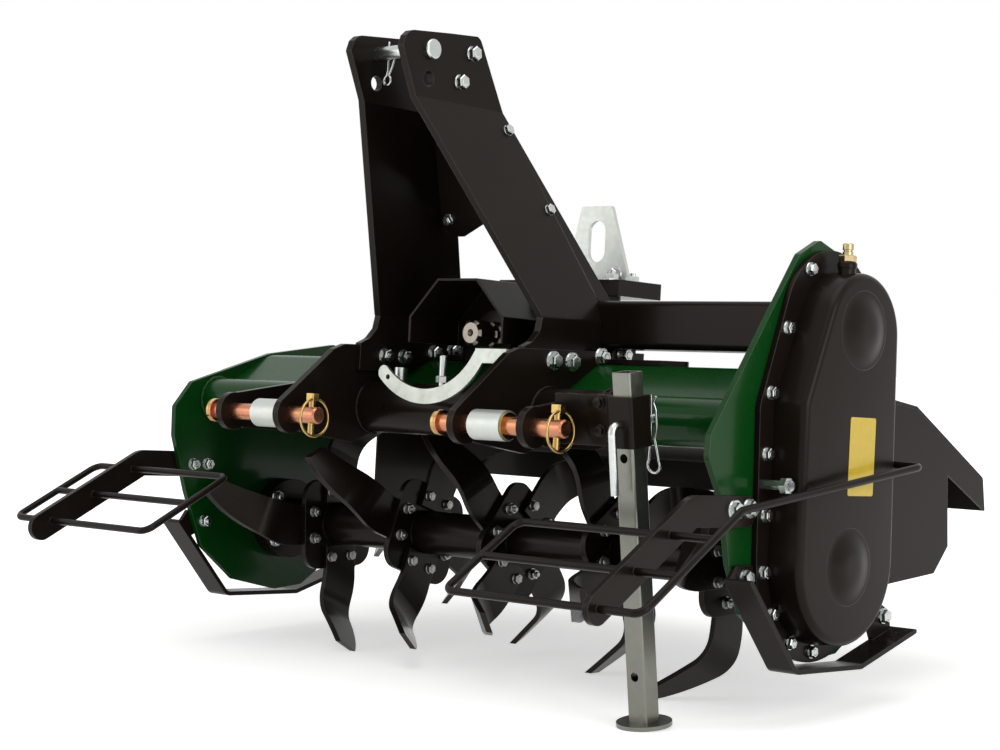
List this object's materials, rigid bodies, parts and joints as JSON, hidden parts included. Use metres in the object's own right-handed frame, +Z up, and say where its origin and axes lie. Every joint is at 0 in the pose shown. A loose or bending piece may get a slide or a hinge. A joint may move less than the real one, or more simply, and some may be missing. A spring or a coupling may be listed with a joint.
{
  "type": "rotary tiller",
  "caption": "Tractor-mounted rotary tiller: hitch mast, gearbox, side chain case, curved-blade rotor, rod guards, skids, hinged rear flap and sliding stand leg.",
  "frame": {"origin": "centre of the machine's footprint box, on the floor it is parked on", "axes": "+X to the chain case side, +Y to the rear, +Z up; the hitch faces -Y"},
  "size_m": [1.1366, 0.8629, 0.8329],
  "materials": {
    "black_paint": "gloss black enamel",
    "blade_paint": "satin black enamel on forged blades",
    "green_paint": "gloss green enamel",
    "bright_zinc": "bright zinc plate",
    "yellow_zinc": "yellow passivated zinc plate",
    "turned_steel": "machined, oiled",
    "brass": "turned brass"
  },
  "bodies": {
    "frame": {"case_stud": "bright_zinc", "chain_case_cover": "black_paint", "chain_case_plate": "black_paint", "cross_tube": "black_paint", "deck": "green_paint", "filler_plug": "brass", "front_tube": "green_paint", "gearbox": "black_paint", "gearbox_feet": "black_paint", "guard_left": "black_paint", "guard_right": "black_paint", "hinge_rod": "bright_zinc", "hitch_band": "black_paint", "hitch_inner_left": "black_paint", "hitch_inner_right": "black_paint", "hitch_outer_left": "black_paint", "hitch_outer_right": "black_paint", "lift_bridge": "black_paint", "lift_plate": "bright_zinc", "linch_pins": "yellow_zinc", "lower_pin_left": "yellow_zinc", "lower_pin_right": "yellow_zinc", "mast_brace": "black_paint", "mast_left": "black_paint", "mast_right": "black_paint", "pin_sleeves": "bright_zinc", "plug_elbow": "black_paint", "rotor_bearing_left": "black_paint", "rotor_bearing_right": "black_paint", "shaft_cradle": "bright_zinc", "shaft_shield": "black_paint", "side_plate_left": "green_paint", "side_plate_right": "green_paint", "skid_left": "black_paint", "skid_right": "black_paint", "stand_pin": "bright_zinc", "stand_socket": "black_paint", "top_link_pin": "bright_zinc"},
    "rotor": {"rotor_tube": "black_paint", "tines_left": "blade_paint", "tines_right": "blade_paint"},
    "input_shaft": {"pto_shaft": "turned_steel"},
    "flap": {"rear_flap": "black_paint"},
    "stand": {"stand_leg": "bright_zinc"}
  },
  "joints": [
    {"name": "rotor_spin", "type": "hinge", "parent": "frame", "child": "rotor", "pos_m": [0.00027, 0.01158, 0.17207], "axis": [1, 0, 0], "continuous": true},
    {"name": "input_spin", "type": "hinge", "parent": "frame", "child": "input_shaft", "pos_m": [0.00027, -0.05363, 0.45174], "axis": [0, 0.9972, -0.075], "continuous": true},
    {"name": "flap_swing", "type": "hinge", "parent": "frame", "child": "flap", "pos_m": [0.00027, 0.19271, 0.36703], "axis": [1, 0, 0], "range_deg": [0, 40]},
    {"name": "stand_slide", "type": "slide", "parent": "frame", "child": "stand", "axis": [0, -0.0802, 0.9968], "range_m": [0, 0.25]}
  ],
  "couplings": [
    {"joint": "input_spin", "follows": "rotor_spin", "ratio": -2.5}
  ]
}
